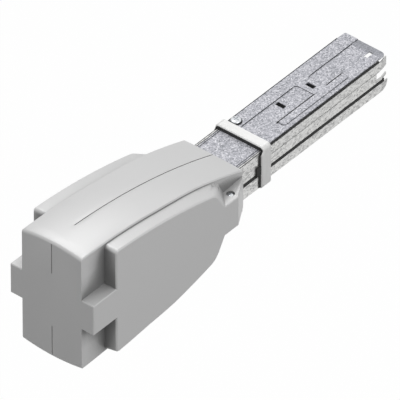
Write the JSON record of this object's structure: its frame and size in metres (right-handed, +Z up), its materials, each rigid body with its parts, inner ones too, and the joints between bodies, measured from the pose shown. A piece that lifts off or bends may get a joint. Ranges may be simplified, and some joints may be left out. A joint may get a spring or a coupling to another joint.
{
  "type": "busway end feed unit",
  "caption": "End feed for a small power busway: a grey two-part moulded terminal housing with an arched roof on a galvanised stub, with a white collar and a plug-in joint section.",
  "frame": {"origin": "centre of the busway section at the collar's outer face, where the run joins", "axes": "+X out along the busway run, +Y to the left of the run, +Z up"},
  "size_m": [0.389, 0.0852, 0.1164],
  "materials": {
    "housing_plastic": "fine moulded texture",
    "plated_screw": "bright zinc plate",
    "galvanised_steel": "hot-dip galvanised, spangled",
    "collar_plastic": "satin moulded",
    "black_rubber": "matt",
    "black_plastic": "moulded",
    "terminal_plastic": "moulded",
    "copper": "drawn bar",
    "tinned_copper": "tin plate",
    "cage_steel": "yellow zinc plate"
  },
  "bodies": {
    "chassis": {"stub_upper_casing": "galvanised_steel", "stub_cover_strip": "galvanised_steel", "stub_lower_casing": "galvanised_steel", "bar_supports": "black_plastic", "neck_seal": "black_rubber", "seal_collar": "collar_plastic", "collar_gasket": "black_rubber", "joint_top_plate": "galvanised_steel", "left_joint_side_plate": "galvanised_steel", "right_joint_side_plate": "galvanised_steel", "joint_lower_channel": "galvanised_steel", "contact_block": "black_plastic", "contact_forks": "tinned_copper", "terminal_block": "terminal_plastic", "terminal_cap": "terminal_plastic", "saddle_bracket": "galvanised_steel", "mounting_tray": "galvanised_steel", "carrier_screws": "plated_screw", "terminal_fixing_screws": "plated_screw", "cable_clamp_base": "terminal_plastic", "busbar_l1": "copper", "busbar_l2": "copper", "busbar_l3": "copper", "busbar_n": "copper", "busbar_pe": "copper"},
    "left_shell": {"left_half_shell": "housing_plastic", "left_shell_nut": "plated_screw"},
    "left_shell_screw": {"left_shell_screw": "plated_screw"},
    "right_shell": {"right_half_shell": "housing_plastic", "right_shell_nut": "plated_screw"},
    "right_shell_screw": {"right_shell_screw": "plated_screw"},
    "cable_clamp": {"cable_clamp_bar": "terminal_plastic", "cable_clamp_screws": "plated_screw"},
    "joint_lock_screw": {"joint_lock_screw": "plated_screw"},
    "joint_lock_plate": {"joint_lock_plate": "plated_screw"},
    "terminal_screw_l1": {"terminal_screw_l1": "plated_screw"},
    "terminal_cage_l1": {"terminal_cage_l1": "cage_steel"},
    "terminal_screw_l2": {"terminal_screw_l2": "plated_screw"},
    "terminal_cage_l2": {"terminal_cage_l2": "cage_steel"},
    "terminal_screw_l3": {"terminal_screw_l3": "plated_screw"},
    "terminal_cage_l3": {"terminal_cage_l3": "cage_steel"},
    "terminal_screw_n": {"terminal_screw_n": "plated_screw"},
    "terminal_cage_n": {"terminal_cage_n": "cage_steel"},
    "terminal_screw_pe": {"terminal_screw_pe": "plated_screw"},
    "terminal_cage_pe": {"terminal_cage_pe": "cage_steel"}
  },
  "joints": [
    {"name": "left_shell_slide", "type": "slide", "parent": "chassis", "child": "left_shell", "axis": [0, 1, 0], "range_m": [0, 0.11]},
    {"name": "left_shell_screw_turn", "type": "hinge", "parent": "left_shell", "child": "left_shell_screw", "pos_m": [-0.0634, 0.0353, 0], "axis": [0, 0, 1], "continuous": true},
    {"name": "right_shell_slide", "type": "slide", "parent": "chassis", "child": "right_shell", "axis": [0, -1, 0], "range_m": [0, 0.11]},
    {"name": "right_shell_screw_turn", "type": "hinge", "parent": "right_shell", "child": "right_shell_screw", "pos_m": [-0.0634, -0.0353, 0], "axis": [0, 0, 1], "continuous": true},
    {"name": "terminal_screw_l1_turn", "type": "hinge", "parent": "chassis", "child": "terminal_screw_l1", "pos_m": [-0.1274, 0.0164, 0.006], "axis": [0, 0, 1], "range_deg": [-2250, 0]},
    {"name": "terminal_cage_l1_lift", "type": "slide", "parent": "chassis", "child": "terminal_cage_l1", "axis": [0, 0, 1], "range_m": [0, 0.005]},
    {"name": "terminal_screw_l2_turn", "type": "hinge", "parent": "chassis", "child": "terminal_screw_l2", "pos_m": [-0.1274, 0.0082, 0.006], "axis": [0, 0, 1], "range_deg": [-2250, 0]},
    {"name": "terminal_cage_l2_lift", "type": "slide", "parent": "chassis", "child": "terminal_cage_l2", "axis": [0, 0, 1], "range_m": [0, 0.005]},
    {"name": "terminal_screw_l3_turn", "type": "hinge", "parent": "chassis", "child": "terminal_screw_l3", "pos_m": [-0.1274, 0, 0.006], "axis": [0, 0, 1], "range_deg": [-2250, 0]},
    {"name": "terminal_cage_l3_lift", "type": "slide", "parent": "chassis", "child": "terminal_cage_l3", "axis": [0, 0, 1], "range_m": [0, 0.005]},
    {"name": "terminal_screw_n_turn", "type": "hinge", "parent": "chassis", "child": "terminal_screw_n", "pos_m": [-0.1274, -0.0082, 0.006], "axis": [0, 0, 1], "range_deg": [-2250, 0]},
    {"name": "terminal_cage_n_lift", "type": "slide", "parent": "chassis", "child": "terminal_cage_n", "axis": [0, 0, 1], "range_m": [0, 0.005]},
    {"name": "terminal_screw_pe_turn", "type": "hinge", "parent": "chassis", "child": "terminal_screw_pe", "pos_m": [-0.1274, -0.0164, 0.006], "axis": [0, 0, 1], "range_deg": [-2250, 0]},
    {"name": "terminal_cage_pe_lift", "type": "slide", "parent": "chassis", "child": "terminal_cage_pe", "axis": [0, 0, 1], "range_m": [0, 0.005]},
    {"name": "cable_clamp_press", "type": "slide", "parent": "chassis", "child": "cable_clamp", "axis": [0, 0, 1], "range_m": [-0.01, 0]},
    {"name": "joint_lock_screw_turn", "type": "hinge", "parent": "chassis", "child": "joint_lock_screw", "pos_m": [0.0056, 0.016, 0.0187], "axis": [0, 0, 1], "range_deg": [-1080, 0]},
    {"name": "joint_lock_plate_lift", "type": "slide", "parent": "chassis", "child": "joint_lock_plate", "axis": [0, 0, 1], "range_m": [0, 0.0024]}
  ],
  "couplings": [
    {"joint": "terminal_screw_l1_turn", "follows": "terminal_cage_l1_lift", "rad_per_m": -7854},
    {"joint": "terminal_screw_l2_turn", "follows": "terminal_cage_l2_lift", "rad_per_m": -7854},
    {"joint": "terminal_screw_l3_turn", "follows": "terminal_cage_l3_lift", "rad_per_m": -7854},
    {"joint": "terminal_screw_n_turn", "follows": "terminal_cage_n_lift", "rad_per_m": -7854},
    {"joint": "terminal_screw_pe_turn", "follows": "terminal_cage_pe_lift", "rad_per_m": -7854},
    {"joint": "joint_lock_screw_turn", "follows": "joint_lock_plate_lift", "rad_per_m": -7854}
  ]
}
